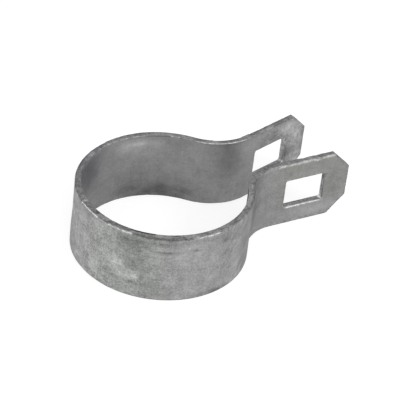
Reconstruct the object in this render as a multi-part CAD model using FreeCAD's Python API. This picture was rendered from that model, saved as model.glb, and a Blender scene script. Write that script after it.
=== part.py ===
"""Brace band for a round fence post: one galvanised steel strip, bent to a ring with two slotted ears.

Millimetres and degrees. +Z runs along the post, and the strip's width is centred on z = 0.
The origin is on the ring's axis. +X points between the ears, midway in their splay.
The front ear is on the -Y side and the rear ear on the +Y side.
"""

import FreeCAD
import Part

import math
import os

from FreeCAD import Placement, Rotation, Vector

# Strip
STRIP_WIDTH = 22.2
STRIP_THICKNESS = 1.9
OUTER_EDGE_RADIUS = 0.5
INNER_EDGE_CHAMFER = 0.15

# Ring
RING_INNER_RADIUS = 24.2

# Ears, and the reverse bends that carry them
THROAT_GAP = 14.1
EAR_SPLAY = 8.2
FRONT_BEND_RADIUS = 12.9
REAR_BEND_RADIUS = 15.5
FRONT_EAR_LENGTH = 25.7
REAR_EAR_LENGTH = 24.7
EAR_CHAMFER = 5.8
EAR_CORNER_RADIUS = 0.6

# Bolt slots
SLOT_LENGTH = 13.5
SLOT_HEIGHT = 9.5
SLOT_CORNER_RADIUS = 0.6
SLOT_TIP_MARGIN = 8.3

# Values that follow
OUTER_SKIN = STRIP_THICKNESS / 2
INNER_SKIN = -STRIP_THICKNESS / 2
RING_RADIUS = RING_INNER_RADIUS + STRIP_THICKNESS / 2
SPLAY = math.radians(EAR_SPLAY)
RING_BACK = math.pi
TOLERANCE = 1e-5


class Side:
    """One half of the strip's centreline: where the ring ends, its reverse bend and its ear.

    Offsets are measured from the centreline, positive towards the outer skin.
    """

    def __init__(self, sign, bend_radius, ear_length):
        self.sign = sign
        self.ear_length = ear_length
        self.bend_radius = bend_radius + STRIP_THICKNESS / 2
        ear_start_y = THROAT_GAP / 2 + STRIP_THICKNESS / 2 * math.cos(SPLAY)
        reach = RING_RADIUS + self.bend_radius
        self.ring_end = math.asin((ear_start_y + self.bend_radius * math.cos(SPLAY)) / reach)
        self.bend_start = self.ring_end - math.pi / 2
        self.bend_centre = (reach * math.cos(self.ring_end), reach * math.sin(self.ring_end))

    def place(self, x, y, z=0.0):
        """A point worked out for the rear side, mirrored to the front where this is the front."""
        return Vector(x, self.sign * y, z)

    def on_ring(self, offset):
        radius = RING_RADIUS + offset
        return self.place(radius * math.cos(self.ring_end), radius * math.sin(self.ring_end))

    def on_bend(self, heading, offset):
        """The point of the bend where the strip runs along this heading."""
        radius = self.bend_radius - offset
        return self.place(
            self.bend_centre[0] + radius * math.sin(heading),
            self.bend_centre[1] - radius * math.cos(heading),
        )

    def on_ear(self, along, offset):
        """A point of the ear, this far from the end of the bend."""
        return self.on_bend(SPLAY, offset) + self.ear_direction() * along

    def ear_direction(self):
        return self.place(math.cos(SPLAY), math.sin(SPLAY))

    def outward(self):
        """The outward normal of the ear's outer skin."""
        return self.place(-math.sin(SPLAY), math.cos(SPLAY))

    def slot_centre(self):
        return self.on_ear(self.ear_length - SLOT_TIP_MARGIN - SLOT_LENGTH / 2, 0.0)

    def developed_length(self):
        """Length of this half of the flat strip, along its centreline."""
        ring = RING_RADIUS * (RING_BACK - self.ring_end)
        bend = self.bend_radius * (SPLAY - self.bend_start)
        return ring + bend + self.ear_length

    def skin(self, offset):
        """Edges of one skin, from the ring's end to the ear's tip."""
        middle = (self.bend_start + SPLAY) / 2
        ear_start = self.on_ear(0.0, offset)
        bend = Part.Arc(self.on_ring(offset), self.on_bend(middle, offset), ear_start)
        ear = Part.LineSegment(ear_start, self.on_ear(self.ear_length, offset))
        return [bend.toShape(), ear.toShape()]


FRONT = Side(-1, FRONT_BEND_RADIUS, FRONT_EAR_LENGTH)
REAR = Side(1, REAR_BEND_RADIUS, REAR_EAR_LENGTH)
SIDES = (FRONT, REAR)


def skin_edges(offset):
    """Edges of a whole skin, in order from the rear ear's tip round the ring to the front ear's tip."""
    back = Vector(-(RING_RADIUS + offset), 0, 0)
    ring = Part.Arc(REAR.on_ring(offset), back, FRONT.on_ring(offset)).toShape()
    return REAR.skin(offset)[::-1] + [ring] + FRONT.skin(offset)


def tip_edge(side):
    start = side.on_ear(side.ear_length, OUTER_SKIN)
    end = side.on_ear(side.ear_length, INNER_SKIN)
    return Part.LineSegment(start, end).toShape()


def bent_strip():
    """The bent strip with square ends and no slots."""
    outer = skin_edges(OUTER_SKIN)
    inner = skin_edges(INNER_SKIN)
    outline = Part.Wire(outer + [tip_edge(FRONT)] + inner[::-1] + [tip_edge(REAR)])
    strip = Part.Face(outline).extrude(Vector(0, 0, STRIP_WIDTH))
    strip.translate(Vector(0, 0, -STRIP_WIDTH / 2))
    return strip


def runs_through(edge, side):
    """True for a straight edge that crosses the strip's thickness at this side's ear."""
    ends = [vertex.Point for vertex in edge.Vertexes]
    if len(ends) != 2:
        return False
    span = ends[1] - ends[0]
    if abs(abs(span.dot(side.outward())) - STRIP_THICKNESS) > TOLERANCE:
        return False
    return span.Length < STRIP_THICKNESS + TOLERANCE and ends[0].y * side.sign > 0


def clip_ear_corners(band):
    """Both corners of each ear are clipped, and the corners that this leaves are eased."""
    for side in SIDES:
        corners = [edge for edge in band.Edges if runs_through(edge, side)]
        band = band.makeChamfer(EAR_CHAMFER, corners)
        corners = [edge for edge in band.Edges if runs_through(edge, side)]
        band = band.makeFillet(EAR_CORNER_RADIUS, corners)
    return band


def slot_punch(side):
    """A punch with the slot's rounded outline, long enough to go right through the ear."""
    depth = 3 * STRIP_THICKNESS
    corner = Vector(-SLOT_LENGTH / 2, -depth / 2, -SLOT_HEIGHT / 2)
    punch = Part.makeBox(SLOT_LENGTH, depth, SLOT_HEIGHT, corner)
    along_depth = [
        edge
        for edge in punch.Edges
        if abs(edge.tangentAt(edge.FirstParameter).y) > 1 - TOLERANCE
    ]
    punch = punch.makeFillet(SLOT_CORNER_RADIUS, along_depth)
    turn = Rotation(Vector(0, 0, 1), side.sign * EAR_SPLAY)
    punch.Placement = Placement(side.slot_centre(), turn)
    return punch


def punch_slots(band):
    for side in SIDES:
        band = band.cut(slot_punch(side))
    return band


def skin_rim(band, offset):
    """The edges round one skin: its outline and its slots."""
    path = Part.Wire(skin_edges(offset))
    faces = []
    for face in band.Faces:
        first_u, last_u, first_v, last_v = face.ParameterRange
        middle = face.valueAt((first_u + last_u) / 2, (first_v + last_v) / 2)
        at_path = Part.Vertex(middle.x, middle.y, 0)
        if abs(middle.z) < STRIP_WIDTH / 2 - TOLERANCE and at_path.distToShape(path)[0] < TOLERANCE:
            faces.append(face)
    rim = []
    for face in faces:
        for edge in face.Edges:
            if not any(edge.isSame(other) for one in faces if not one.isSame(face) for other in one.Edges):
                rim.append(edge)
    return rim


def ease_edges(band):
    """Shearing draws the outer skin down round its edges, and the inner skin's burr is broken off."""
    band = band.makeFillet(OUTER_EDGE_RADIUS, skin_rim(band, OUTER_SKIN))
    return band.makeChamfer(INNER_EDGE_CHAMFER, skin_rim(band, INNER_SKIN))


def brace_band():
    return ease_edges(punch_slots(clip_ear_corners(bent_strip())))


def main():
    os.makedirs("parts", exist_ok=True)
    (band,) = brace_band().Solids
    band.exportStep("parts/brace_band.step")
    blank = sum(side.developed_length() for side in SIDES)
    print("brace_band: volume", round(band.Volume, 1), "mm3, valid", band.isValid())
    print("flat strip:", round(blank, 1), "mm long")


main()
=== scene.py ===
"""Looks of the fence brace band: a galvanised strip with rolled, burred edges on a white sweep."""

import math

import bpy
import numpy as np
from mathutils import Matrix, Vector, noise
from mathutils.geometry import delaunay_2d_cdt


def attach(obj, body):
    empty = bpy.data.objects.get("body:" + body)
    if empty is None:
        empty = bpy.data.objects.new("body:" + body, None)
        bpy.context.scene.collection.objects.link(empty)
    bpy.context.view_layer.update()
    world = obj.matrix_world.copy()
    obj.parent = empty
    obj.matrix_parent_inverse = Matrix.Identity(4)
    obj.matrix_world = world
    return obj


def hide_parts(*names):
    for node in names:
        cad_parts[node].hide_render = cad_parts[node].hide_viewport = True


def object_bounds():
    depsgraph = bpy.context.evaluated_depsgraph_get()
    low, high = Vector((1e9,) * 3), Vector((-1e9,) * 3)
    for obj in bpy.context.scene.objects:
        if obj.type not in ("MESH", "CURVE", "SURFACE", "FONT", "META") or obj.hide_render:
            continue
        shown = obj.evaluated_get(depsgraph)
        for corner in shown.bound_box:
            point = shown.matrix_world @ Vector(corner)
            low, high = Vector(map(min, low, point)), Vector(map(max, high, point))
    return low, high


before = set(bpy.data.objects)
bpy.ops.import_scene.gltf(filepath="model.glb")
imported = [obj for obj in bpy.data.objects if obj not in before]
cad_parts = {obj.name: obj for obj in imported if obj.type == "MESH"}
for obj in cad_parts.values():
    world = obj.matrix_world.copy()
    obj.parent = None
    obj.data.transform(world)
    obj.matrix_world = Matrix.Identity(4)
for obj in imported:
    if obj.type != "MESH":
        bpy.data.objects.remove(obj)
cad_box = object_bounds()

# Sizes of the band, in millimetres and radians
WIDTH = 22.2
THICKNESS = 1.9
RING_RADIUS = 24.2 + THICKNESS / 2
THROAT_GAP = 14.1
SPLAY = math.radians(8.2)
REAR_BEND = 15.5 + THICKNESS / 2
FRONT_BEND = 12.9 + THICKNESS / 2
REAR_EAR = 24.7
FRONT_EAR = 25.7
EAR_CHAMFER = 5.8
EAR_CORNER = 0.6
SLOT_LENGTH = 13.5
SLOT_HEIGHT = 9.5
SLOT_CORNER = 0.6
SLOT_TIP_MARGIN = 8.3
MM = 0.001


# The strip's path: straight, bend, ring, bend, straight, from the rear tip to the front tip

def ring_end(bend):
    """Angle at the ring's centre from the throat's middle to where the ring passes into this bend."""
    start_y = (THROAT_GAP + THICKNESS * math.cos(SPLAY)) / 2
    return math.asin((start_y + bend * math.cos(SPLAY)) / (RING_RADIUS + bend))


REAR_END = ring_end(REAR_BEND)
FRONT_END = ring_end(FRONT_BEND)
REAR_TURN = SPLAY - REAR_END + math.pi / 2
FRONT_TURN = SPLAY - FRONT_END + math.pi / 2
RING_TURN = 2 * math.pi - REAR_END - FRONT_END
# Sections: length and curvature
SECTIONS = [
    (REAR_EAR, 0.0),
    (REAR_BEND * REAR_TURN, -1 / REAR_BEND),
    (RING_RADIUS * RING_TURN, 1 / RING_RADIUS),
    (FRONT_BEND * FRONT_TURN, -1 / FRONT_BEND),
    (FRONT_EAR, 0.0),
]
STARTS = np.concatenate([[0.0], np.cumsum([length for length, _ in SECTIONS])])
LENGTH = float(STARTS[-1])

# Flare of the ring's left side at its foot: how far out, its zone, and how far below the middle it is full
FLARE_OUT = 0.18
FLARE_ZONE = (84.0, 101.0, 12.0)
FLARE_HEIGHT = 6.0


def advance(point, heading, run, curvature):
    """Where a path of constant curvature is after a run, and its heading there."""
    if curvature == 0.0:
        x = point[0] + run * np.cos(heading)
        y = point[1] + run * np.sin(heading)
        return x, y, heading + 0.0 * run
    end = heading + curvature * run
    x = point[0] + (np.sin(end) - np.sin(heading)) / curvature
    y = point[1] - (np.cos(end) - np.cos(heading)) / curvature
    return x, y, end


def between(values, start, stop, softness):
    """1 inside and 0 outside a zone, which is its start, its stop and the softness of its ends."""
    rise = np.clip((values - start) / softness + 0.5, 0, 1)
    fall = np.clip((stop - values) / softness + 0.5, 0, 1)
    return rise * rise * (3 - 2 * rise) * fall * fall * (3 - 2 * fall)


def flare(strip):
    """How far each point of the strip stands out of round."""
    low = np.clip(-strip[:, 1] / FLARE_HEIGHT, 0, 1)
    return FLARE_OUT * between(strip[:, 0], *FLARE_ZONE) * low


def bend_strip(strip):
    """Points (along, across, out) of the flat strip, in the band's frame, in metres."""
    reach = RING_RADIUS + REAR_BEND
    x = reach * math.cos(REAR_END) + REAR_BEND * math.sin(SPLAY) + REAR_EAR * math.cos(SPLAY)
    y = reach * math.sin(REAR_END) - REAR_BEND * math.cos(SPLAY) + REAR_EAR * math.sin(SPLAY)
    heading = math.pi + SPLAY
    along = strip[:, 0]
    placed = np.zeros_like(strip)
    for index, (length, curvature) in enumerate(SECTIONS):
        first = index == 0
        last = index == len(SECTIONS) - 1
        inside = (first | (along >= STARTS[index])) & (last | (along < STARTS[index + 1]))
        px, py, turned = advance((x, y), heading, along[inside] - STARTS[index], curvature)
        out = strip[inside, 2] + flare(strip[inside])
        placed[inside, 0] = px + out * np.sin(turned)
        placed[inside, 1] = py - out * np.cos(turned)
        placed[inside, 2] = strip[inside, 1]
        x, y, heading = advance((x, y), heading, length, curvature)
    return placed * MM


# Noise: how far a seed moves it along each axis, and its fall of strength and size from octave to octave
SEED_SHIFT = (17.3, -9.1, 5.7)
NOISE_FALL = 1.0
NOISE_STEP = 2.0


def waves(points, size, octaves, seed):
    """Smooth noise of about -1 to 1 at each point; size is that of its waves in millimetres."""
    shift = Vector([part * seed for part in SEED_SHIFT])
    total = np.zeros(len(points))
    for index, point in enumerate(points):
        place = Vector(point) / size + shift
        total[index] = noise.fractal(place, NOISE_FALL, NOISE_STEP, octaves)
    return total


def uneven(points, kind, loop_seed=0):
    """A kind of unevenness at each point; a kind is its share, size of waves, octaves and seed."""
    share, size, octaves, seed = kind
    return share * waves(points, size, octaves, seed + loop_seed)


def layered(flat, layer=0.0):
    """Flat points with a third coordinate, so that noise can be taken from a layer of its own."""
    return np.column_stack([flat, np.full(len(flat), layer)])


# Loops of the flat blank: its outline and its two slots

# Spacing of the points along a side, the least radius of a corner, and the points round a corner
EDGE_STEP = 0.22
SMALLEST_RADIUS = 0.12
EAR_CORNER_POINTS = 5
SLOT_CORNER_POINTS = 7


class Loop:
    """A closed outline with rounded corners that can be drawn again at any depth into the metal."""

    def __init__(self, corners, radius, hole):
        self.corners = np.array(corners, float)
        self.radius = radius
        self.hole = hole
        sides = np.roll(self.corners, -1, 0) - self.corners
        self.directions = sides / np.linalg.norm(sides, axis=1)[:, None]
        self.side_counts = [max(2, math.ceil(np.linalg.norm(side) / EDGE_STEP)) for side in sides]
        self.corner_count = SLOT_CORNER_POINTS if hole else EAR_CORNER_POINTS

    def offset_corners(self, depth):
        """The corners moved so that every side lies deeper, by depth, towards the loop's middle."""
        moved = []
        for index, corner in enumerate(self.corners):
            before = self.directions[index - 1]
            after = self.directions[index]
            cosine = float(before @ after)
            normal_before = np.array((-before[1], before[0]))
            normal_after = np.array((-after[1], after[0]))
            moved.append(corner + depth * (normal_before + normal_after) / (1 + cosine))
        return np.array(moved)

    def turn(self, index):
        """How far the loop turns at a corner."""
        cosine = float(self.directions[index - 1] @ self.directions[index])
        return math.acos(max(-1.0, min(1.0, cosine)))

    def at(self, depth):
        """The loop's points at this depth into the metal."""
        inward = -depth if self.hole else depth
        radius = max(self.radius - inward, SMALLEST_RADIUS)
        corners = self.offset_corners(inward)
        points = []
        for index, corner in enumerate(corners):
            following = (index + 1) % len(corners)
            before = self.directions[index - 1]
            after = self.directions[index]
            turn = self.turn(index)
            reach = radius * math.tan(turn / 2)
            normal = np.array((-before[1], before[0]))
            centre = corner - before * reach + normal * radius
            for angle in np.linspace(0, turn, self.corner_count):
                points.append(centre - normal * radius * math.cos(angle) + before * radius * math.sin(angle))
            start = corner + after * reach
            end = corners[following] - after * radius * math.tan(self.turn(following) / 2)
            count = self.side_counts[index]
            for share in np.arange(1, count) / count:
                points.append(start + (end - start) * share)
        points = np.array(points)
        return points[::-1] if self.hole else points


def blank_corners():
    """Corners of the strip's outline, once its own four are clipped."""
    half = WIDTH / 2
    cut = EAR_CHAMFER
    return [
        (cut, -half), (LENGTH - cut, -half), (LENGTH, cut - half), (LENGTH, half - cut),
        (LENGTH - cut, half), (cut, half), (0, half - cut), (0, cut - half),
    ]


def slot_corners(middle):
    """Corners of a slot, from where its middle lies along the strip."""
    left, right = middle - SLOT_LENGTH / 2, middle + SLOT_LENGTH / 2
    half = SLOT_HEIGHT / 2
    return [(left, -half), (right, -half), (right, half), (left, half)]


REAR_SLOT = SLOT_TIP_MARGIN + SLOT_LENGTH / 2
FRONT_SLOT = LENGTH - REAR_SLOT
OUTLINE = Loop(blank_corners(), EAR_CORNER, False)
SLOTS = [Loop(slot_corners(middle), SLOT_CORNER, True) for middle in (REAR_SLOT, FRONT_SLOT)]


# Paint: tone of the zinc, which is the share of light that it returns, with painted light and shade in
# places, and its mottling

RING_TONE = 0.335
BEND_TONE = 0.27
EAR_TONE = 0.275
INNER_TONE = 0.29
ROLLED_TONE = 0.2
SHEARED_TONE = 0.22
SLOT_TONE = 0.27

# Zones along the strip: from, to and softness of the ends; those of the ears reach beyond the tips
BEYOND = 50.0
REAR_TIP_ZONE = (-BEYOND, 20.0, 8.0)
REAR_EAR_ZONE = (-BEYOND, STARTS[1], 6.0)
RING_ZONE = (STARTS[2] + 3.0, STARTS[3] - 12.0, 12.0)
STREAKED_ZONE = (80.0, 108.0, 10.0)
PALE_LEFT_ZONE = (84.0, 117.0, 8.0)
SMOOTH_RIGHT_ZONE = (131.0, STARTS[3], 16.0)
SCUFFED_ZONE = (150.0, 165.0, 6.0)
EAR_ROOT_ZONE = (172.0, 192.0, 8.0)
FRONT_EAR_ZONE = (STARTS[4] - 6.0, LENGTH + BEYOND, 6.0)

# Mottling of the outer (1) and inner (-1) skin, and its changes in zones
PLAIN_MOTTLE = {1: 0.45, -1: 0.4}
MOTTLE_CHANGES = [
    (1, RING_ZONE, 0.55),
    (1, REAR_EAR_ZONE, -0.05),
    (1, FRONT_EAR_ZONE, -0.05),
    (1, SMOOTH_RIGHT_ZONE, -0.3),
    (1, PALE_LEFT_ZONE, 0.1),
    (1, STREAKED_ZONE, -0.1),
    (1, EAR_ROOT_ZONE, 0.15),
    (-1, REAR_TIP_ZONE, 0.5),
]

# Streaks run across the strip, scuffs run on a slant, and marks have ragged borders
STREAKS = (0.14, 1.0, 3, 57)
STREAK_STRETCH = (1.0, 0.12)
SCUFFS = (0.35, 0.9, 2, 83)
SCUFF_SLANT = np.array([(0.1, -0.75), (0.11, 0.66)])
RAGGED = (1.0, 1.8, 4, 31)
RAGGED_STRETCH = {1: (1.0, 1.0), -1: (0.5, 1.0)}
RAGGED_LAYER = 25.0
OUTER_BREAKS = 0.8
INNER_BREAKS = 0.4
REAR_TIP_BREAKS = 0.4

# Marks and painted shading on a skin: outer (1) or inner (-1), along, across, half length, half width,
# change of tone
MARKS_AND_PAINTED_SHADING = [
    # The ring's left: pale zinc, and painted shade where it turns out of sight
    (1, 95.0, 3.0, 7.0, 7.0, 0.22),
    (1, 107.0, -8.0, 11.0, 6.5, 0.24),
    (1, 106.0, 3.0, 6.5, 5.0, 0.12),
    (1, 86.0, 8.5, 3.0, 3.5, -0.22),
    # The ring's front: two pale blotches, with stains and thin dark lines round them
    (1, 116.8, -0.8, 3.0, 1.8, 0.32),
    (1, 122.6, -3.5, 1.5, 1.4, 0.6),
    (1, 121.0, 6.5, 4.5, 4.5, -0.2),
    (1, 123.5, 1.5, 2.6, 3.5, -0.2),
    (1, 127.0, -7.0, 5.0, 4.5, -0.15),
    (1, 121.5, -6.0, 6.0, 0.5, -0.3),
    (1, 124.4, -3.6, 0.5, 1.4, -0.3),
    # Below the rim: a dark band and scratches, and a darker patch and stains at the right
    (1, 128.0, 9.4, 8.0, 2.2, -0.28),
    (1, 129.6, 7.4, 1.3, 0.7, 0.25),
    (1, 131.0, 6.0, 2.8, 0.45, -0.55),
    (1, 139.0, 8.5, 3.0, 1.5, 0.2),
    (1, 139.0, 6.6, 1.4, 0.5, -0.4),
    (1, 154.5, 7.0, 3.2, 3.6, -0.17),
    (1, 148.9, 7.2, 2.0, 1.4, -0.4),
    (1, 149.6, 2.2, 2.2, 1.5, -0.18),
    # The foot of the ring's right, dark and then pale
    (1, 147.0, -11.0, 5.0, 0.7, -0.35),
    (1, 156.0, -9.5, 5.0, 4.0, 0.22),
    # The front bend and ear
    (1, 168.5, 6.5, 10.0, 6.0, 0.31),
    (1, 168.5, -6.0, 4.5, 5.0, -0.27),
    (1, 180.0, -8.0, 4.0, 4.0, 0.1),
    (1, 189.0, -3.0, 3.0, 4.0, -0.12),
    (1, 201.0, -8.5, 10.0, 3.2, 0.26),
    (1, 207.0, 0.0, 3.0, 7.0, -0.12),
    # Inside: a worn band and a streak below the rim; lighter below the rim, partly pale zinc and partly
    # painted light that falls in over the front of the ring; darker at the left and low down, partly grime
    # and partly painted shade where the ring's own walls keep the light off
    (-1, 80.0, 11.1, 9.0, 1.5, 0.5),
    (-1, 60.0, 8.3, 5.5, 0.8, 0.5),
    (-1, 62.0, 8.0, 10.0, 4.0, 0.4),
    (-1, 29.5, 8.5, 13.0, 4.0, 0.26),
    (-1, 30.0, 3.0, 5.5, 9.0, 0.16),
    (-1, 78.5, 3.5, 5.5, 5.5, -0.22),
    (-1, 58.0, -4.0, 19.0, 4.5, -0.19),
    (-1, 52.0, -10.0, 15.0, 4.0, -0.58),
    (-1, 48.0, -7.6, 5.0, 1.6, -0.2),
    (-1, 61.5, -7.2, 2.8, 1.6, -0.2),
    # The rear ear: worn pale at its tip, stained round its slot
    (-1, 4.2, 4.6, 4.2, 3.6, 0.54),
    (-1, 2.6, -4.6, 3.2, 2.6, 0.48),
    (-1, 0.3, 0.0, 0.45, 7.5, -0.3),
    (-1, 9.0, 7.6, 4.0, 2.3, 0.3),
    (-1, 8.2, -0.5, 1.6, 5.2, -0.45),
    (-1, 5.2, -1.6, 2.2, 1.3, -0.2),
    (-1, 14.6, 6.9, 2.6, 1.5, -0.38),
]

# Casts of the zinc's colour on a skin: outer (1) or inner (-1), from, to, lowest place across, colour
CASTS = [
    (1, 108.0, 131.0, -WIDTH, (0.985, 1.012, 0.975)),
    (1, 187.0, LENGTH + BEYOND, -5.0, (1.0, 1.0, 0.965)),
    (-1, 73.0, 90.0, 0.0, (0.985, 0.985, 1.03)),
]
CAST_SOFT_ALONG = 8.0
CAST_SOFT_ACROSS = 4.0


def plain_outer_tone(flat):
    """Tone of the outer skin before its marks and painted shading: by zone, streaked at the left and scuffed
    at the right.
    """
    along = flat[:, 0]
    ring = between(along, *RING_ZONE)
    ear = between(along, *REAR_EAR_ZONE) + between(along, *FRONT_EAR_ZONE)
    tone = BEND_TONE + (RING_TONE - BEND_TONE) * ring + (EAR_TONE - BEND_TONE) * ear
    streaks = uneven(layered(flat * STREAK_STRETCH), STREAKS)
    tone = tone * (1 + between(along, *STREAKED_ZONE) * streaks)
    scuffs = uneven(layered(flat @ SCUFF_SLANT), SCUFFS)
    return tone * (1 + between(along, *SCUFFED_ZONE) * scuffs)


def skin_tone(flat, side):
    """Tone of a skin at flat points, with its marks and painted shading."""
    along, across = flat[:, 0], flat[:, 1]
    if side > 0:
        tone = plain_outer_tone(flat)
        breaks = OUTER_BREAKS
    else:
        tone = np.full(len(flat), INNER_TONE)
        breaks = INNER_BREAKS + REAR_TIP_BREAKS * between(along, *REAR_TIP_ZONE)
    border = uneven(layered(flat * RAGGED_STRETCH[side], RAGGED_LAYER * side), RAGGED)
    ragged = np.clip(1 + breaks * border, 0, 2)
    for mark_side, at_along, at_across, half_length, half_width, change in MARKS_AND_PAINTED_SHADING:
        if mark_side == side:
            reach = ((along - at_along) / half_length) ** 2 + ((across - at_across) / half_width) ** 2
            tone = tone * (1 + change * np.exp(-reach) * ragged)
    return tone


def skin_mottle(flat, side):
    """Mottling of a skin at flat points."""
    mottle = np.full(len(flat), PLAIN_MOTTLE[side])
    for zone_side, zone, change in MOTTLE_CHANGES:
        if zone_side == side:
            mottle = mottle + change * between(flat[:, 0], *zone)
    return mottle


def cast(flat, tone, side):
    """Colour of a skin at flat points, from its tone."""
    colour = np.repeat(tone[:, None], 3, 1)
    for cast_side, start, stop, lowest, tint in CASTS:
        if cast_side == side:
            share = between(flat[:, 0], start, stop, CAST_SOFT_ALONG)
            share = share * between(flat[:, 1], lowest, WIDTH, CAST_SOFT_ACROSS)
            colour = colour * (1 + share[:, None] * (np.array(tint) - 1))
    return colour


# Edges: the outer skin rolls over to a lip, the wall is sheared, the inner skin ends in a broken burr

# How far the skins lie inside the solid's faces, and the wall inside its outline
SKIN_DROP = 0.03
INNER_DROP = 0.02
WALL_INSET = 0.01
OUTER_LEVEL = THICKNESS / 2 - SKIN_DROP
INNER_LEVEL = INNER_DROP - THICKNESS / 2

# The tables of lips, burrs and walls hold along the top edge, and the bottom edge is plain
STRETCH_SOFTNESS = 0.6
# Lips: from, to, depth of the roll, shine (above 0 a bright line, partly bright zinc and partly painted
# highlight; below 0 dull, partly dark metal and partly painted shade along the roll), width of the bright
# line
PLAIN_LIP = (0.45, 0.0, 0.2)
LIPS = [
    (-1.0, 4.8, 0.2, -0.5, 0.2),
    (5.2, 23.6, 0.6, -0.7, 0.2),
    (23.8, 27.0, 0.15, -0.8, 0.2),
    (27.3, 36.0, 0.45, -0.9, 0.2),
    (36.5, 60.0, 0.16, -1.0, 0.2),
    (60.0, 65.0, 0.32, -0.95, 0.2),
    (65.0, 70.0, 0.52, -0.9, 0.2),
    (70.0, 86.0, 0.76, -0.8, 0.2),
    (86.4, 95.0, 0.6, -0.35, 0.2),
    (95.0, 101.6, 0.6, -0.1, 0.2),
    (101.9, 109.0, 0.14, 1.1, 0.17),
    (109.4, 113.0, 0.3, 0.35, 0.2),
    (113.4, 121.0, 0.22, 0.9, 0.18),
    (121.5, 138.0, 0.36, -0.85, 0.2),
    (138.5, 146.4, 0.22, 0.9, 0.2),
    (147.0, 158.0, 0.2, 0.15, 0.3),
    (160.0, 166.0, 0.45, 0.1, 0.15),
    (166.0, 171.0, 0.45, -0.25, 0.15),
    (171.0, 176.2, 0.45, -0.05, 0.15),
    (176.8, 181.0, 0.28, 0.25, 0.25),
    (181.0, 186.0, 0.28, 0.0, 0.25),
    (186.5, 199.0, 0.2, 0.75, 0.48),
    (199.2, 201.2, 0.42, 0.7, 0.48),
    (201.4, 206.0, 0.13, 0.75, 0.48),
]
# Burrs: from, to, depth of the break, shine (above 0 partly a painted highlight on the burr; below 0 dull,
# partly dark metal and partly a painted shadow line at the burr)
PLAIN_BURR = (0.15, 0.0)
BURRS = [
    (4.5, 15.0, 0.2, -0.8),
    (15.5, 25.0, 0.15, 0.2),
    (26.0, 40.0, 0.18, 1.4),
    (42.0, 49.0, 0.12, 0.1),
    (49.5, 57.0, 0.15, -1.0),
    (58.0, 75.0, 0.12, 0.22),
    (88.0, 101.5, 0.12, 0.1),
    (102.0, 106.8, 0.05, 0.15),
    (107.0, 109.4, 0.06, -0.7),
    (109.6, 113.4, 0.05, 0.3),
    (114.0, 116.6, 0.1, 0.3),
    (117.0, 127.4, 0.1, -0.9),
    (132.0, 134.5, 0.12, -0.8),
    (135.0, 160.0, 0.12, -0.3),
    (162.0, 177.0, 0.12, 0.7),
    (177.6, 181.5, 0.12, -0.4),
    (187.0, 206.0, 0.35, 0.0),
]
# Places where the top edge is torn to bright metal, with a painted glint: along, reach, gain of tone on the
# wall
TEARS_AND_GLINTS = [(101.8, 0.3, 0.22), (109.1, 0.4, 0.1)]
# Walls: from, to, change of tone beside the lip and beside the burr
PLAIN_WALL = (0.0, 0.0)
WALLS = [
    (-1.0, 24.0, -0.08, 0.2),
    (49.0, 57.6, 0.08, 0.45),
    (76.0, 98.0, -0.12, -0.03),
    (102.0, 106.8, -0.2, -0.12),
    (107.0, 109.3, -0.2, -0.4),
    (110.0, 112.2, 0.35, 0.1),
    (112.8, 114.4, -0.4, -0.1),
    (115.0, 119.5, -0.25, -0.35),
    (120.0, 127.4, 0.1, -0.6),
    (127.6, 132.0, 0.4, 0.2),
    (132.2, 134.4, 0.15, -0.45),
    (144.0, 152.0, 0.15, 0.1),
    (153.0, 160.5, -0.1, -0.15),
    (161.0, 171.8, 0.15, 0.0),
    (172.4, 177.0, -0.15, -0.2),
    (177.4, 181.0, 0.15, 0.0),
    (181.5, 188.0, -0.18, -0.18),
    (188.5, 192.5, 0.2, 0.0),
]
WALL_PATCHES = (0.2, 4.0, 2, 77)
ROLLED_SHINE = 0.5

# Slots: sizes of lip and burr, and tones where the lower wall and the tipward corner catch the light
SLOT_ROLL = 0.12
LOWER_ROLL_MORE = 0.08
SLOT_LINE = 0.22
SLOT_BURR = 0.1
SLOT_SHINE = 2.0
SLOT_SHINE_ZONE = (SLOT_TIP_MARGIN + 0.7, SLOT_TIP_MARGIN + SLOT_LENGTH - 0.9, 0.8)
LOWER_BURR_SHINE = 0.4
TIPWARD_TONE = 0.08
TIPWARD_REACH = 1.0
GLINT_TONE = 0.7
GLINT_REACH = 0.65
REAR_GLINT = 0.4
# Where a slot's lower wall begins and where it is full, as shares of the slot's height below its middle
LOWER_FROM = 3 / 8
LOWER_TO = 4 / 8

# Unevenness of an edge, to which each loop adds a seed of its own: share, size of waves, octaves, seed
ROLL_SWELL = (0.35, 2.4, 3, 0)
ROLL_RIPPLE = (0.3, 0.7, 2, 1)
BURR_SWELL = (0.5, 1.2, 3, 2)
NICKS = (1.0, 1.9, 3, 3)
GLEAM = (0.6, 1.0, 3, 4)
SPECKLES = (0.3, 0.9, 3, 5)
FINE_SPECKLES = (0.25, 0.4, 1, 6)
FINE_GLEAM = (0.6, 0.45, 1, 7)
ROLL_RANGE = (0.1, 0.85)
ROLL_DROP = 0.85
NICK_DEPTH = 0.12
NICK_FROM = 0.35
BACK_ZONE = (26.0, 98.0, 6.0)
BACK_UNEVENNESS = 0.4
BOTTOM_UNEVENNESS = 0.3
BOTTOM_MARGIN = 0.1

# Shine of an edge: gleam of its bright lines (partly bright zinc, partly painted highlight), which is
# steadier where they are wide, and tones by shine
PLAIN_GLEAM = 0.75
GLEAM_RANGE = (0.15, 1.5)
STEADY_GLEAM = 0.85
STEADINESS = 0.6
STEADY_FROM = 0.25
STEADY_SPAN = 0.15
BEAD = 0.02
LIP_GAIN = 1.4
LIP_LOSS = 0.5
BRIGHTEST_LIP = 0.9
BURR_GAIN = 0.32
BURR_GLEAM_GAIN = 0.4
BURR_LOSS = 0.5
BURR_FOOT_LOSS = 0.45
EDGE_MOTTLE = 1.1
SPECKLE_RANGE = (0.3, 2.0)
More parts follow.
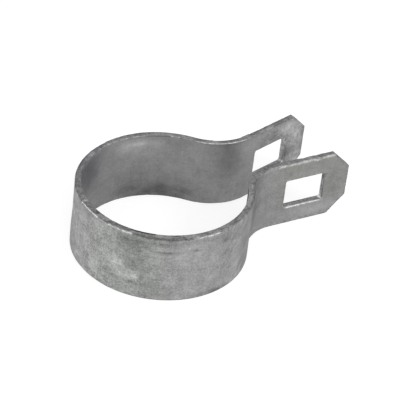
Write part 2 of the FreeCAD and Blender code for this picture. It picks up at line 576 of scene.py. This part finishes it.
# The first columns of the profile take the outer skin's cast, and the others the inner skin's
OUTER_COLUMNS = 6

# Depths at which a loop is drawn; a point at another depth lies between two of them
DEPTHS = np.array([0.0, 0.2, 0.4, 0.6, 0.9, 1.3, 2.2])


def at_depths(loop, depths):
    """The loop's points, each at a depth of its own."""
    drawn = np.array([loop.at(depth) for depth in DEPTHS])
    upper = np.clip(np.searchsorted(DEPTHS, depths), 1, len(DEPTHS) - 1)
    lower = upper - 1
    share = ((depths - DEPTHS[lower]) / (DEPTHS[upper] - DEPTHS[lower]))[:, None]
    index = np.arange(len(depths))
    return drawn[lower, index] * (1 - share) + drawn[upper, index] * share


def stretch_values(flat, table, plain):
    """Values along the strip's edge by a table of stretches; the plain ones hold outside them."""
    values = [np.full(len(flat), value) for value in plain]
    for start, stop, *listed in table:
        share = between(flat[:, 0], start, stop, STRETCH_SOFTNESS) * (flat[:, 1] > 0)
        for index, value in enumerate(listed):
            values[index] += (value - plain[index]) * share
    return values


def strip_edge(base):
    """Lip values, burr values and the tones of roll and wall round the strip's outline."""
    sheared = SHEARED_TONE * (1 + uneven(layered(base), WALL_PATCHES))
    near_lip, near_burr = stretch_values(base, WALLS, PLAIN_WALL)
    roll, shine, width = stretch_values(base, LIPS, PLAIN_LIP)
    # A tear lightens the wall and adds to the lip's shine, a painted glint on torn metal
    for at, reach, on_wall in TEARS_AND_GLINTS:
        torn_glint = np.exp(-(((base[:, 0] - at) / reach) ** 2)) * (base[:, 1] > 0)
        sheared = sheared + on_wall * torn_glint
        shine = shine + torn_glint
    # The roll takes part of the lip's painted highlight and shade
    rolled = ROLLED_TONE * (1 + ROLLED_SHINE * np.clip(shine, -1, 1))
    walls = (sheared * (1 + near_lip), sheared * (1 + near_burr))
    return (roll, shine, width), stretch_values(base, BURRS, PLAIN_BURR), (rolled, *walls)


def slot_edge(base):
    """The same values round a slot, whose lower lip and tipward corner catch the light."""
    same = np.ones(len(base))
    along = np.minimum(base[:, 0], LENGTH - base[:, 0])
    below = -base[:, 1] / SLOT_HEIGHT
    lower = np.clip((below - LOWER_FROM) / (LOWER_TO - LOWER_FROM), 0, 1)
    corner = np.hypot(along - SLOT_TIP_MARGIN, base[:, 1] + SLOT_HEIGHT / 2)
    glint = np.exp(-((corner / GLINT_REACH) ** 2)) * np.where(base[:, 0] > LENGTH / 2, 1.0, REAR_GLINT)
    tipward = np.clip(2 - 2 * np.abs(along - SLOT_TIP_MARGIN) / TIPWARD_REACH, 0, 1) * (1 - lower)
    wall = SLOT_TONE + (SHEARED_TONE - SLOT_TONE) * lower + TIPWARD_TONE * tipward + GLINT_TONE * glint
    straight = lower * between(along, *SLOT_SHINE_ZONE)
    lip = (SLOT_ROLL + LOWER_ROLL_MORE * lower, SLOT_SHINE * straight, SLOT_LINE * same)
    burr = (SLOT_BURR * same, LOWER_BURR_SHINE * lower + glint)
    return lip, burr, (SLOT_TONE * same, wall, wall)


def gleam_along(level, width, loop_seed):
    """How strongly the bright lines, partly painted highlights, gleam round an edge."""
    gleam = PLAIN_GLEAM + uneven(level, GLEAM, loop_seed) + uneven(level, FINE_GLEAM, loop_seed)
    gleam = np.clip(gleam, *GLEAM_RANGE)
    steady = STEADINESS * np.clip((width - STEADY_FROM) / STEADY_SPAN, 0, 1)
    return gleam + (STEADY_GLEAM - gleam) * steady


def edge_profile(loop, loop_seed):
    """Columns of flat points, out, colour and mottling from the outer skin round the edge to the inner."""
    base = loop.at(0.0)
    level = layered(base)
    traits = slot_edge(base) if loop.hole else strip_edge(base)
    (roll, lip_shine, width), (burr, burr_shine), (rolled, near_lip, near_burr) = traits

    back = between(base[:, 0], *BACK_ZONE)
    above_bottom = base[:, 1] > BOTTOM_MARGIN - WIDTH / 2
    share = np.where(above_bottom, 1 - (1 - BACK_UNEVENNESS) * back, BOTTOM_UNEVENNESS)
    swell = uneven(level, ROLL_SWELL, loop_seed) + uneven(level, ROLL_RIPPLE, loop_seed)
    nick = NICK_DEPTH * share * np.clip(uneven(level, NICKS, loop_seed) - NICK_FROM, 0, 1)
    wall = WALL_INSET + nick
    roll = np.clip(roll * (1 + share * swell), *ROLL_RANGE) + nick
    burr = burr * (1 + uneven(level, BURR_SWELL, loop_seed))

    gleam = gleam_along(level, width, loop_seed)
    bright, dull = np.maximum(lip_shine, 0), np.maximum(-lip_shine, 0)
    bright_burr, dull_burr = np.maximum(burr_shine, 0), np.maximum(-burr_shine, 0)
    outer_tone, inner_tone = skin_tone(base, 1), skin_tone(base, -1)
    # A lip's tone: a painted highlight where it shines, and where dull a darkening that is partly painted
    # shade
    lip = outer_tone * (1 + LIP_GAIN * bright * gleam) * (1 - LIP_LOSS * dull)
    lip = np.minimum(lip, BRIGHTEST_LIP)
    # A burr's tone: a painted highlight where it shines, and where dull a darkening that is partly a painted
    # shadow, reaching the inner skin at its foot
    burr_gain = bright_burr * (BURR_GAIN + BURR_GLEAM_GAIN * gleam)
    burred = near_burr * (1 + burr_gain) * (1 - BURR_LOSS * dull_burr)
    burr_foot = inner_tone * (1 - BURR_FOOT_LOSS * dull_burr)
    outer_mottle, inner_mottle = skin_mottle(base, 1), skin_mottle(base, -1)
    edge_mottle = np.full_like(roll, EDGE_MOTTLE)

    top = np.full_like(roll, OUTER_LEVEL)
    bottom = np.full_like(roll, INNER_LEVEL)
    bead = BEAD * np.minimum(bright * gleam, 1)
    drop = ROLL_DROP * roll
    wall_top, wall_bottom = top - drop, bottom + burr
    # A column is its depth into the metal, out, tone and mottling
    profile = [
        (roll + 1.5 * width + 0.4, top, outer_tone, outer_mottle),
        (roll + 1.3 * width + 0.08, top, 0.7 * outer_tone + 0.3 * lip, outer_mottle),
        (roll + width, top + bead, lip, outer_mottle),
        (roll + 0.3 * width, top + bead, lip, outer_mottle),
        (roll, top + 0.5 * bead, 0.5 * lip + 0.5 * rolled, outer_mottle),
        (wall + 0.5 * (roll - wall), top - 0.14 * drop, rolled, edge_mottle),
        (wall + 0.14 * (roll - wall), top - 0.5 * drop, rolled, edge_mottle),
        (wall, wall_top, 0.5 * rolled + 0.5 * near_lip, edge_mottle),
        (wall + 0.02, 0.75 * wall_top + 0.25 * wall_bottom, near_lip, edge_mottle),
        (wall + 0.03, 0.5 * wall_top + 0.5 * wall_bottom, near_lip, edge_mottle),
        (wall + 0.02, 0.3 * wall_top + 0.7 * wall_bottom, near_burr, edge_mottle),
        (wall + 0.01, wall_bottom, 0.6 * near_burr + 0.4 * burred, edge_mottle),
        (wall + 0.5 * burr, bottom + 0.4 * burr, burred, edge_mottle),
        (wall + 1.1 * burr, bottom, burr_foot, inner_mottle),
        (wall + 1.1 * burr + 0.3, bottom, inner_tone, inner_mottle),
    ]
    columns = []
    for index, (depth, out, tone, mottle) in enumerate(profile):
        flat = at_depths(loop, depth)
        if 0 < index < len(profile) - 1:
            place = np.column_stack([flat, out])
            speckle = 1 + uneven(place, SPECKLES, loop_seed) + uneven(place, FINE_SPECKLES, loop_seed)
            tone = tone * np.clip(speckle, *SPECKLE_RANGE)
        side = 1 if index < OUTER_COLUMNS else -1
        columns.append((flat, out, cast(flat, tone, side), mottle))
    return columns


# The mesh: round each edge a band of columns, and over each skin staggered points

SKIN_PITCH = 0.62
# Margins of the skins' inner points, from the outline and from the slots
OUTER_MARGINS = (2.1, 1.4)
INNER_MARGINS = (1.2, 1.2)
RIPPLES = (0.018, 7.0, 2, 91)
RIPPLE_LAYER = 40.0
RIPPLE_MARGIN = 0.9
FIRST_LOOP_SEED = 3
LOOP_SEED_STEP = 20
# The triangulation keeps the triangles inside the outline, and joins points nearer than this
INSIDE_ONLY = 1
JOINED_WITHIN = 1e-6


def outline_distance(points):
    """How far each flat point lies inside the blank."""
    along = np.minimum(points[:, 0], LENGTH - points[:, 0])
    across = WIDTH / 2 - np.abs(points[:, 1])
    clipped = (along + across - EAR_CHAMFER) / math.sqrt(2)
    return np.minimum(np.minimum(along, across), clipped)


def slot_distance(points):
    """How far each flat point lies outside the nearer slot."""
    half = np.array((SLOT_LENGTH, SLOT_HEIGHT)) / 2
    nearest = np.full(len(points), np.inf)
    for middle in (REAR_SLOT, FRONT_SLOT):
        gap = np.abs(points - np.array((middle, 0.0))) - half + SLOT_CORNER
        outside = np.linalg.norm(np.maximum(gap, 0), axis=1) + np.minimum(gap.max(1), 0) - SLOT_CORNER
        nearest = np.minimum(nearest, outside)
    return nearest


def inner_points(edge_margin, slot_margin):
    """Staggered points over the blank, clear of its outline and its slots by the margins."""
    rows = []
    row_pitch = SKIN_PITCH * math.sqrt(3) / 2
    for index, across in enumerate(np.arange(-WIDTH / 2, WIDTH / 2, row_pitch)):
        along = np.arange(SKIN_PITCH * (index % 2) / 2, LENGTH, SKIN_PITCH)
        rows.append(np.column_stack([along, np.full_like(along, across)]))
    points = np.concatenate(rows)
    clear = np.minimum(outline_distance(points) - edge_margin, slot_distance(points) - slot_margin)
    return points[clear > 0]


class Mesh:
    """Vertices in strip coordinates, their paint, and faces."""

    def __init__(self):
        self.strip = []
        self.paint = []
        self.faces = []
        self.count = 0

    def add(self, flat, out, colour, mottle):
        """Adds points and gives their numbers."""
        self.strip.append(np.column_stack([flat, out]))
        self.paint.append(np.column_stack([colour, mottle]))
        numbers = np.arange(self.count, self.count + len(flat))
        self.count += len(flat)
        return numbers

    def skin(self, rims, middle, facing_out):
        """Triangles between rims of numbered points, the outline first, with points in the middle."""
        strip = np.concatenate(self.strip)
        numbers = np.concatenate(rims + [middle])
        edges = []
        start = 0
        for rim in rims:
            edges += [(start + i, start + (i + 1) % len(rim)) for i in range(len(rim))]
            start += len(rim)
        flat = [Vector(point) for point in strip[numbers, :2]]
        _, _, triangles, sources, _, _ = delaunay_2d_cdt(flat, edges, [], INSIDE_ONLY, JOINED_WITHIN)
        source = np.array([numbers[entry[0]] for entry in sources])
        corners = source[np.array(triangles)]
        # Triangles with every corner on the rim of one slot lie in the slot
        for slot_rim in rims[1:]:
            corners = corners[~np.isin(corners, slot_rim).all(1)]
        self.faces += (corners if facing_out else corners[:, ::-1]).tolist()


def build_mesh():
    """The whole strip, flat: the edges of the outline and the slots, then the outer and the inner skin."""
    mesh = Mesh()
    outer_rims, inner_rims = [], []
    for index, loop in enumerate([OUTLINE] + SLOTS):
        columns = []
        for column in edge_profile(loop, FIRST_LOOP_SEED + LOOP_SEED_STEP * index):
            columns.append(mesh.add(*column))
        outer_rims.append(columns[0])
        inner_rims.append(columns[-1])
        for near, far in zip(columns, columns[1:]):
            mesh.faces += np.column_stack([near, far, np.roll(far, -1), np.roll(near, -1)]).tolist()
    skins = [
        (outer_rims, 1, OUTER_MARGINS, OUTER_LEVEL),
        (inner_rims, -1, INNER_MARGINS, INNER_LEVEL),
    ]
    for rims, side, margins, level in skins:
        flat = inner_points(*margins)
        fade = np.clip(np.minimum(outline_distance(flat), slot_distance(flat)) - RIPPLE_MARGIN, 0, 1)
        out = level + uneven(layered(flat, RIPPLE_LAYER * side), RIPPLES) * fade
        colour = cast(flat, skin_tone(flat, side), side)
        mesh.skin(rims, mesh.add(flat, out, colour, skin_mottle(flat, side)), side > 0)
    return mesh


def make_band():
    """The formed band as one object, with its strip coordinates and its paint as attributes."""
    made = build_mesh()
    strip = np.concatenate(made.strip)
    paint = np.concatenate(made.paint)
    data = bpy.data.meshes.new("band")
    data.from_pydata(bend_strip(strip).tolist(), [], made.faces)
    data.polygons.foreach_set("use_smooth", np.ones(len(data.polygons), bool))
    # The zinc colour holds the painted tone, with its painted highlights and shade
    for name, values in (("strip", strip), ("zinc", paint[:, :3])):
        attribute = data.attributes.new(name, "FLOAT_VECTOR", "POINT")
        attribute.data.foreach_set("vector", values.astype(np.float32).ravel())
    attribute = data.attributes.new("mottle", "FLOAT", "POINT")
    attribute.data.foreach_set("value", paint[:, 3].astype(np.float32))
    data.validate()
    data.update()
    band = bpy.data.objects.new("formed_band", data)
    bpy.context.scene.collection.objects.link(band)
    return band


# Materials

# Patterns of the zinc: size of the grains each way in millimetres, detail, roughness, offset, gain
PATTERNS = {
    "patches": ((4.4, 3.4, 1.5), 6.0, 0.66, 0.0, 1.25),
    "granules": ((0.75, 0.7, 0.7), 3.0, 0.65, 4.7, 1.0),
    "specks": ((0.34, 0.34, 0.34), 1.0, 0.5, 7.9, 0.8),
    "drawn lines": ((11.0, 0.4, 0.4), 3.0, 0.6, 11.3, 0.3),
    "fallen lines": ((0.6, 10.0, 0.6), 3.0, 0.6, 23.1, 0.4),
}
ROUGHNESS = 0.48
ROUGHNESS_CHANGE = -0.2
EDGE_TINT = (0.6, 0.6, 0.6, 1.0)
# Bump: its fine grain, given like a pattern but without a gain, the patches' share, strength and metres
FINE_GRAIN = ((0.5, 0.45, 0.45), 4.0, 0.6, 2.2)
PATCH_HEIGHT = 0.8
BUMP_STRENGTH = 0.25
BUMP_DISTANCE = 0.0002


class Tree:
    """Short calls for building a node tree."""

    def __init__(self, tree):
        self.tree = tree
        tree.nodes.clear()

    def add(self, kind, inputs=(), **settings):
        """A node with its settings; an input is a value or another node's output."""
        node = self.tree.nodes.new(kind)
        for name, value in settings.items():
            setattr(node, name, value)
        for name, value in dict(inputs).items():
            if isinstance(value, bpy.types.NodeSocket):
                self.tree.links.new(value, node.inputs[name])
            else:
                node.inputs[name].default_value = value
        return node

    def surface(self, kind, shader):
        """Ends the tree with an output node of this kind."""
        output = self.add(kind)
        self.tree.links.new(shader.outputs[0], output.inputs["Surface"])

    def math(self, operation, first, second=0.0, third=0.0, clamp=False):
        """The result of a math node."""
        values = {0: first, 1: second, 2: third}
        return self.add("ShaderNodeMath", values, operation=operation, use_clamp=clamp).outputs[0]

    def attribute(self, name, output="Fac"):
        """An attribute of the mesh."""
        return self.add("ShaderNodeAttribute", attribute_name=name).outputs[output]

    def noise(self, place, grain, detail, roughness, offset):
        """Noise of 0 to 1 over the strip; grain is the size of its grains in millimetres each way."""
        scale = tuple(1 / size for size in grain)
        mapping = self.add("ShaderNodeMapping", {"Vector": place, "Scale": scale, "Location": (offset,) * 3})
        texture = self.add(
            "ShaderNodeTexNoise",
            {"Vector": mapping.outputs[0], "Scale": 1.0, "Detail": detail, "Roughness": roughness},
        )
        return texture.outputs["Fac"]

    def about_zero(self, value, gain):
        """A noise of 0 to 1 turned into a change of about plus or minus half the gain."""
        return self.math("MULTIPLY_ADD", value, gain, -0.5 * gain)


def galvanised_steel():
    """Mottled zinc: the tone, with its painted highlights and shade, comes from the mesh, and the patterns
    change it.
    """
    material = bpy.data.materials.new("galvanised_steel")
    material.use_nodes = True
    tree = Tree(material.node_tree)
    place = tree.attribute("strip", "Vector")
    changes = {}
    for name, (grain, detail, roughness, offset, gain) in PATTERNS.items():
        changes[name] = tree.about_zero(tree.noise(place, grain, detail, roughness, offset), gain)
    pattern, *others = changes.values()
    for other in others:
        pattern = tree.math("ADD", pattern, other)
    change = tree.math("MULTIPLY", pattern, tree.attribute("mottle"))
    colour = tree.add(
        "ShaderNodeVectorMath",
        {0: tree.attribute("zinc", "Vector"), "Scale": tree.math("ADD", change, 1.0)},
        operation="SCALE",
    )
    height = tree.math("MULTIPLY_ADD", changes["patches"], PATCH_HEIGHT, tree.noise(place, *FINE_GRAIN))
    bump = tree.add(
        "ShaderNodeBump",
        {"Height": height, "Strength": BUMP_STRENGTH, "Distance": BUMP_DISTANCE},
    )
    shader = tree.add(
        "ShaderNodeBsdfPrincipled",
        {
            "Base Color": colour.outputs[0],
            "Metallic": 1.0,
            "Roughness": tree.math("MULTIPLY_ADD", change, ROUGHNESS_CHANGE, ROUGHNESS, True),
            "Normal": bump.outputs[0],
            "Specular Tint": EDGE_TINT,
        },
    )
    tree.surface("ShaderNodeOutputMaterial", shader)
    return material


# The white sweep and the light, in metres and watts

FLOOR_HALF = 6.0
FLOOR_COLOUR = (0.4, 0.4, 0.4, 1.0)
FLOOR_GLOW = 0.74
WORLD_COLOUR = (1.0, 1.0, 1.0, 1.0)
WORLD_SEEN = 1.0
WORLD_LIGHT = 0.6
# Softboxes: name, place, size, power; they face the ring's middle
SOFTBOXES = [
    ("key", (-0.7, -0.9, 1.0), 0.8, 6.0),
    ("lip_light", (0.4, -0.77, 0.8), 0.35, 3.0),
]


def seen_white(tree):
    """1 for rays that look at a surface or at its mirror image, 0 for rays that only carry light."""
    path = tree.add("ShaderNodeLightPath").outputs
    looked = tree.math("MAXIMUM", path["Is Camera Ray"], path["Is Glossy Ray"])
    return tree.math("MAXIMUM", looked, path["Is Transmission Ray"])


def floor_white():
    """A pale floor that glows where it is looked at, so that it is white but keeps the shadow."""
    material = bpy.data.materials.new("white_sweep")
    material.use_nodes = True
    tree = Tree(material.node_tree)
    diffuse = tree.add("ShaderNodeBsdfDiffuse", {"Color": FLOOR_COLOUR})
    glow = tree.add("ShaderNodeEmission", {"Strength": tree.math("MULTIPLY", seen_white(tree), FLOOR_GLOW)})
    both = tree.add("ShaderNodeAddShader", {0: diffuse.outputs[0], 1: glow.outputs[0]})
    tree.surface("ShaderNodeOutputMaterial", both)
    return material


def make_floor():
    """The floor at the level of the band's lower edge."""
    data = bpy.data.meshes.new("sweep")
    half = FLOOR_HALF
    level = cad_box[0][2]
    corners = [(-half, -half, level), (half, -half, level), (half, half, level), (-half, half, level)]
    data.from_pydata(corners, [], [(0, 1, 2, 3)])
    floor = bpy.data.objects.new("sweep", data)
    data.materials.append(floor_white())
    bpy.context.scene.collection.objects.link(floor)


def light_world():
    """White surroundings, weaker for rays that only carry light, such as those that reach the floor."""
    world = bpy.data.worlds.new("white_studio")
    world.use_nodes = True
    tree = Tree(world.node_tree)
    strength = tree.math("MULTIPLY_ADD", seen_white(tree), WORLD_SEEN - WORLD_LIGHT, WORLD_LIGHT)
    background = tree.add("ShaderNodeBackground", {"Color": WORLD_COLOUR, "Strength": strength})
    tree.surface("ShaderNodeOutputWorld", background)
    bpy.context.scene.world = world


def add_softbox(name, place, size, power):
    """A square lamp that faces the ring's middle."""
    lamp = bpy.data.lights.new(name, "AREA")
    lamp.size = size
    lamp.energy = power
    lamp_object = bpy.data.objects.new(name, lamp)
    lamp_object.location = place
    aim = -Vector(place)
    lamp_object.rotation_euler = aim.to_track_quat("-Z", "Y").to_euler()
    bpy.context.scene.collection.objects.link(lamp_object)


# Camera: the photograph's place, turn and roll, in degrees, millimetres and pixels

AZIMUTH, ELEVATION, ROLL = -39.851, 36.22, 6.96
SIDEWAYS, UPWARD, AWAY = -11.054, -4.178, 592.044
FOCAL_PIXELS = 2034.8
IMAGE_PIXELS = 400
SENSOR = 36.0
NEAREST = 10.0


def add_camera():
    """The camera that took the photograph."""
    azimuth, elevation, roll = (math.radians(angle) for angle in (AZIMUTH, ELEVATION, ROLL))
    level_share = math.cos(elevation)
    back = Vector((math.sin(azimuth) * level_share, -math.cos(azimuth) * level_share, math.sin(elevation)))
    forward = -back
    level = forward.cross(Vector((0, 0, 1))).normalized()
    upright = level.cross(forward)
    right = math.cos(roll) * level + math.sin(roll) * upright
    up = -math.sin(roll) * level + math.cos(roll) * upright
    place = -(right * SIDEWAYS + up * UPWARD + forward * AWAY) * MM
    turn = Matrix((right, up, back)).transposed().to_4x4()
    data = bpy.data.cameras.new("photo_camera")
    data.sensor_width = SENSOR
    data.lens = FOCAL_PIXELS / IMAGE_PIXELS * SENSOR
    data.clip_start = NEAREST * MM
    camera = bpy.data.objects.new("photo_camera", data)
    camera.matrix_world = Matrix.Translation(place) @ turn
    bpy.context.scene.collection.objects.link(camera)
    bpy.context.scene.camera = camera


bpy.context.scene.view_settings.view_transform = "Standard"
band = make_band()
band.data.materials.append(galvanised_steel())
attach(band, "root")
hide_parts("brace_band")
make_floor()
light_world()
for softbox in SOFTBOXES:
    add_softbox(*softbox)
add_camera()
